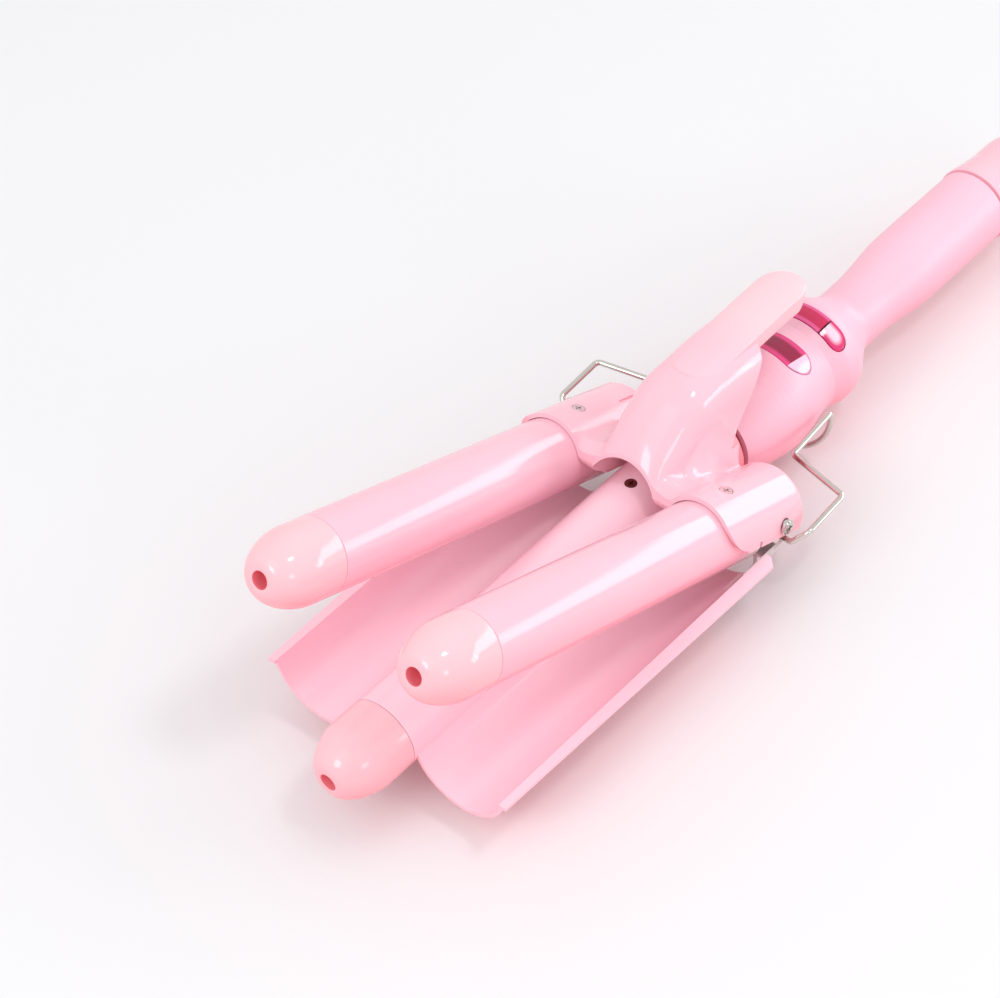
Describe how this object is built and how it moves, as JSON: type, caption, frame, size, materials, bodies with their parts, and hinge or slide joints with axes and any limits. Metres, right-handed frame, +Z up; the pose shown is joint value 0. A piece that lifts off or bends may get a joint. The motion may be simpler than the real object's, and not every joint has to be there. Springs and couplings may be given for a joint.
{
  "type": "hair waver",
  "caption": "Hair waver with heated barrels that close into troughs, a thumb lever, a display and keys in the handle, and a folding wire stand.",
  "frame": {"origin": "middle of the lowest plane, which touches the bow of the folded stand; the hinge line is 16.9 mm in front of it and 27.4 mm up", "axes": "+X along the handle to the barrel tips, +Y along the hinge line to the right-hand side seen from the handle's top with the tips pointing away turned left, +Z up through the thumb lever"},
  "size_m": [0.3618, 0.102, 0.0911],
  "materials": {
    "barrel_enamel": "glossy pale pink ceramic enamel on aluminium",
    "cap_plastic": "glossy peach pink heat-proof plastic",
    "cover_gloss": "glossy pale pink moulding",
    "lever_gloss": "glossy, slightly paler pink moulding",
    "handle_satin": "satin pale pink moulding",
    "collar_plastic": "semi-gloss pink with dark grooves",
    "inner_plastic": "plain heat-proof moulding",
    "heater_ceramic": "bare ceramic heating plate",
    "bare_aluminium": "bare extruded metal",
    "bracket_steel": "pressed sheet",
    "dark_screw_steel": "darkened cross-head screw",
    "screw_steel": "cross-head screws",
    "screw_chrome": "bright pan-head screws",
    "spring_steel": "drawn spring wire",
    "stand_chrome": "bright bent wire",
    "clear_lens": "clear window",
    "panel_magenta": "dark magenta display behind the window",
    "key_magenta": "translucent magenta key",
    "key_pink": "translucent pink keys",
    "board_green": "printed board",
    "switch_black": "small push switches",
    "inlet_rubber": "soft bush"
  },
  "bodies": {
    "handle": {"lower_jaw": "barrel_enamel", "lower_cap": "cap_plastic", "lower_barrel_core": "inner_plastic", "lower_heater": "heater_ceramic", "lower_heat_spreaders": "bare_aluminium", "lower_barrel_screw": "dark_screw_steel", "hinge_bracket": "bracket_steel", "hinge_screws": "screw_chrome", "neck_collar": "collar_plastic", "upper_shell": "handle_satin", "lower_shell": "handle_satin", "shell_screws": "screw_steel", "display_lens": "clear_lens", "display_panel": "panel_magenta", "display_holder": "inner_plastic", "circuit_board": "board_green", "key_carrier": "inner_plastic", "key_switches": "switch_black", "end_cap": "cover_gloss", "cord_inlet": "inlet_rubber"},
    "clamp": {"clamp_cover": "cover_gloss", "thumb_lever": "lever_gloss", "left_barrel": "barrel_enamel", "right_barrel": "barrel_enamel", "left_cap": "cap_plastic", "right_cap": "cap_plastic", "left_holder": "inner_plastic", "right_holder": "inner_plastic", "left_heater": "heater_ceramic", "right_heater": "heater_ceramic", "left_heat_spreaders": "bare_aluminium", "right_heat_spreaders": "bare_aluminium", "cover_screws": "screw_steel", "return_springs": "spring_steel"},
    "stand": {"wire_stand": "stand_chrome"},
    "middle_key_body": {"middle_key": "key_magenta"},
    "left_key_body": {"left_key": "key_pink"},
    "right_key_body": {"right_key": "key_pink"}
  },
  "joints": [
    {"name": "clamp_hinge", "type": "hinge", "parent": "handle", "child": "clamp", "pos_m": [0.0169, 0, 0.0274], "axis": [0, 1, 0], "range_deg": [-10, 21]},
    {"name": "stand_hinge", "type": "hinge", "parent": "handle", "child": "stand", "pos_m": [0.0169, 0, 0.0216], "axis": [0, -1, 0], "range_deg": [0, 100]},
    {"name": "middle_key_press", "type": "slide", "parent": "handle", "child": "middle_key_body", "axis": [0, 0, -1], "range_m": [0, 0.0006], "stiffness_N_per_m": 1500},
    {"name": "left_key_press", "type": "slide", "parent": "handle", "child": "left_key_body", "axis": [0, 0.6225, -0.7826], "range_m": [0, 0.0006], "stiffness_N_per_m": 1500},
    {"name": "right_key_press", "type": "slide", "parent": "handle", "child": "right_key_body", "axis": [0, -0.6225, -0.7826], "range_m": [0, 0.0006], "stiffness_N_per_m": 1500}
  ]
}
